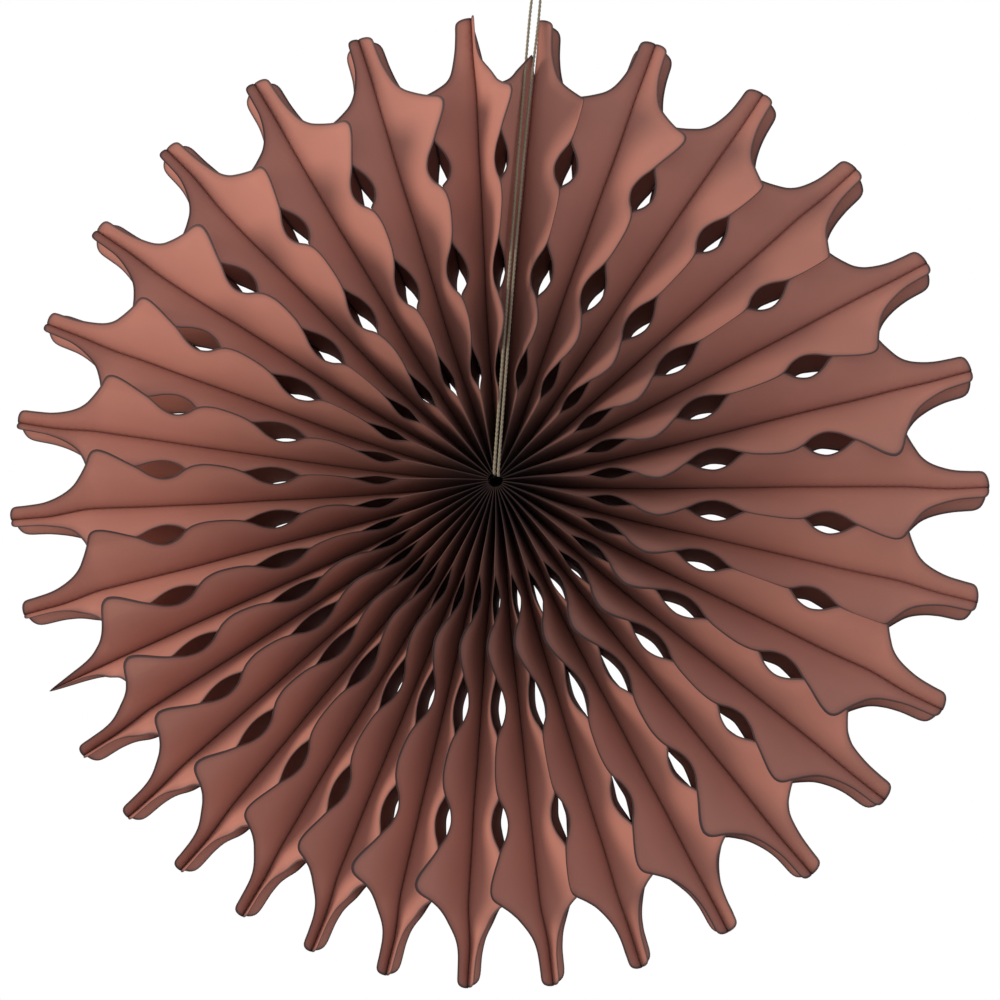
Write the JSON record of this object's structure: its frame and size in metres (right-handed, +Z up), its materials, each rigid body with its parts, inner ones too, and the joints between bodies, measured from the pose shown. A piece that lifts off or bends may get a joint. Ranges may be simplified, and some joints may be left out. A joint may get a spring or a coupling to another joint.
{
  "type": "paper fan medallion",
  "caption": "Round hanging decoration of creased, die-cut tissue sheets glued as a honeycomb, with eye holes, tongues round the rim and a cord.",
  "frame": {"origin": "where a hook bears in the top of the hanging cord's loop", "axes": "+Z up, +X to the viewer's right, and the fan's front faces -Y"},
  "size_m": [0.6836, 0.1008, 0.7144],
  "materials": {
    "tissue": "matte brown tissue paper",
    "cord": "twisted pale beige cord"
  },
  "bodies": {
    "root": {"hanging_cord": "cord", "hub_cord_ring": "cord", "left_end_sheet": "tissue", "petal_01": "tissue", "petal_02": "tissue", "petal_03": "tissue", "petal_04": "tissue", "petal_05": "tissue", "petal_06": "tissue", "petal_07": "tissue", "petal_08": "tissue", "petal_09": "tissue", "petal_10": "tissue", "petal_11": "tissue", "petal_12": "tissue", "petal_13": "tissue", "petal_14": "tissue", "petal_15": "tissue", "petal_16": "tissue", "petal_17": "tissue", "petal_18": "tissue", "petal_19": "tissue", "petal_20": "tissue", "petal_21": "tissue", "petal_22": "tissue", "petal_23": "tissue", "petal_24": "tissue", "petal_25": "tissue", "petal_26": "tissue", "petal_27": "tissue", "petal_28": "tissue", "petal_29": "tissue", "petal_30": "tissue", "right_end_sheet": "tissue"}
  },
  "joints": []
}
